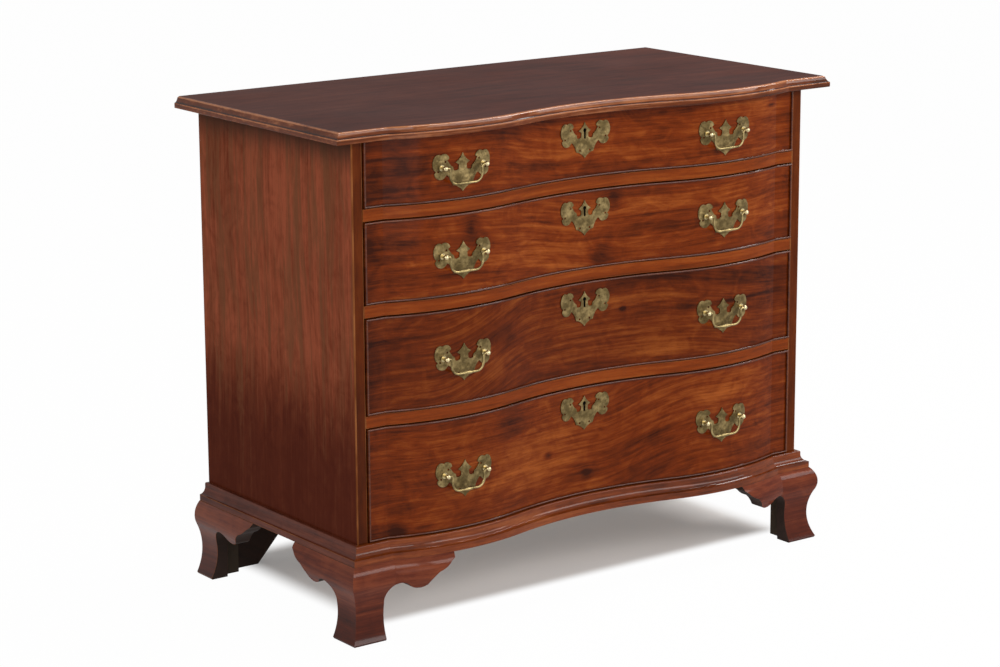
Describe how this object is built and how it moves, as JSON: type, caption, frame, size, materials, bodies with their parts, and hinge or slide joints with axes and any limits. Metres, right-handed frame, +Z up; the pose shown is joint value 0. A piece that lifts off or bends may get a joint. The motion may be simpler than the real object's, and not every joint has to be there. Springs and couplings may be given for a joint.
{
  "type": "chest of drawers",
  "caption": "Mahogany chest of drawers with an oxbow front, cock-beaded graduated drawers, a moulded top, ogee bracket feet and pierced brass bail pulls.",
  "frame": {"origin": "on the floor, under the middle of the chest's bounding box", "axes": "+X to the right seen from the front, -Y out of the drawers' front, +Z up"},
  "size_m": [1.026, 0.5184, 0.835],
  "materials": {
    "mahogany_top": "dark polished mahogany",
    "mahogany_side": "polished mahogany with upright grain",
    "mahogany_front": "glossy figured mahogany",
    "mahogany_base": "polished mahogany",
    "secondary_wood": "unfinished pine and poplar, darkened with age",
    "brass": "aged cast brass",
    "iron": "dark forged iron"
  },
  "bodies": {
    "case": {"top_board": "mahogany_top", "left_side_panel": "mahogany_side", "right_side_panel": "mahogany_side", "drawer_dividers": "mahogany_front", "front_base_moulding": "mahogany_base", "left_base_moulding": "mahogany_base", "right_base_moulding": "mahogany_base", "front_left_foot": "mahogany_base", "front_right_foot": "mahogany_base", "back_left_foot": "mahogany_base", "back_right_foot": "mahogany_base", "case_bottom": "secondary_wood", "drawer_runners": "secondary_wood", "back_boards": "secondary_wood", "foot_glue_blocks": "secondary_wood"},
    "drawer_1": {"drawer_1_front": "mahogany_front", "drawer_1_left_side": "secondary_wood", "drawer_1_right_side": "secondary_wood", "drawer_1_back": "secondary_wood", "drawer_1_bottom": "secondary_wood", "drawer_1_cock_beads": "mahogany_front", "drawer_1_brass_plates": "brass", "drawer_1_bail_posts": "brass", "drawer_1_lock": "iron"},
    "drawer_1_left_bail": {"drawer_1_left_bail": "brass"},
    "drawer_1_right_bail": {"drawer_1_right_bail": "brass"},
    "drawer_2": {"drawer_2_front": "mahogany_front", "drawer_2_left_side": "secondary_wood", "drawer_2_right_side": "secondary_wood", "drawer_2_back": "secondary_wood", "drawer_2_bottom": "secondary_wood", "drawer_2_cock_beads": "mahogany_front", "drawer_2_brass_plates": "brass", "drawer_2_bail_posts": "brass", "drawer_2_lock": "iron"},
    "drawer_2_left_bail": {"drawer_2_left_bail": "brass"},
    "drawer_2_right_bail": {"drawer_2_right_bail": "brass"},
    "drawer_3": {"drawer_3_front": "mahogany_front", "drawer_3_left_side": "secondary_wood", "drawer_3_right_side": "secondary_wood", "drawer_3_back": "secondary_wood", "drawer_3_bottom": "secondary_wood", "drawer_3_cock_beads": "mahogany_front", "drawer_3_brass_plates": "brass", "drawer_3_bail_posts": "brass", "drawer_3_lock": "iron"},
    "drawer_3_left_bail": {"drawer_3_left_bail": "brass"},
    "drawer_3_right_bail": {"drawer_3_right_bail": "brass"},
    "drawer_4": {"drawer_4_front": "mahogany_front", "drawer_4_left_side": "secondary_wood", "drawer_4_right_side": "secondary_wood", "drawer_4_back": "secondary_wood", "drawer_4_bottom": "secondary_wood", "drawer_4_cock_beads": "mahogany_front", "drawer_4_brass_plates": "brass", "drawer_4_bail_posts": "brass", "drawer_4_lock": "iron"},
    "drawer_4_left_bail": {"drawer_4_left_bail": "brass"},
    "drawer_4_right_bail": {"drawer_4_right_bail": "brass"}
  },
  "joints": [
    {"name": "drawer_1_slide", "type": "slide", "parent": "case", "child": "drawer_1", "axis": [0, -1, 0], "range_m": [0, 0.34]},
    {"name": "drawer_1_left_bail_hinge", "type": "hinge", "parent": "drawer_1", "child": "drawer_1_left_bail", "pos_m": [-0.275, -0.24375, 0.76025], "axis": [-1, 0, 0], "range_deg": [-12, 180]},
    {"name": "drawer_1_right_bail_hinge", "type": "hinge", "parent": "drawer_1", "child": "drawer_1_right_bail", "pos_m": [0.275, -0.24375, 0.76025], "axis": [-1, 0, 0], "range_deg": [-12, 180]},
    {"name": "drawer_2_slide", "type": "slide", "parent": "case", "child": "drawer_2", "axis": [0, -1, 0], "range_m": [0, 0.34]},
    {"name": "drawer_2_left_bail_hinge", "type": "hinge", "parent": "drawer_2", "child": "drawer_2_left_bail", "pos_m": [-0.275, -0.24375, 0.6175], "axis": [-1, 0, 0], "range_deg": [-12, 180]},
    {"name": "drawer_2_right_bail_hinge", "type": "hinge", "parent": "drawer_2", "child": "drawer_2_right_bail", "pos_m": [0.275, -0.24375, 0.6175], "axis": [-1, 0, 0], "range_deg": [-12, 180]},
    {"name": "drawer_3_slide", "type": "slide", "parent": "case", "child": "drawer_3", "axis": [0, -1, 0], "range_m": [0, 0.34]},
    {"name": "drawer_3_left_bail_hinge", "type": "hinge", "parent": "drawer_3", "child": "drawer_3_left_bail", "pos_m": [-0.275, -0.24375, 0.45], "axis": [-1, 0, 0], "range_deg": [-12, 180]},
    {"name": "drawer_3_right_bail_hinge", "type": "hinge", "parent": "drawer_3", "child": "drawer_3_right_bail", "pos_m": [0.275, -0.24375, 0.45], "axis": [-1, 0, 0], "range_deg": [-12, 180]},
    {"name": "drawer_4_slide", "type": "slide", "parent": "case", "child": "drawer_4", "axis": [0, -1, 0], "range_m": [0, 0.34]},
    {"name": "drawer_4_left_bail_hinge", "type": "hinge", "parent": "drawer_4", "child": "drawer_4_left_bail", "pos_m": [-0.275, -0.24375, 0.255], "axis": [-1, 0, 0], "range_deg": [-12, 180]},
    {"name": "drawer_4_right_bail_hinge", "type": "hinge", "parent": "drawer_4", "child": "drawer_4_right_bail", "pos_m": [0.275, -0.24375, 0.255], "axis": [-1, 0, 0], "range_deg": [-12, 180]}
  ]
}
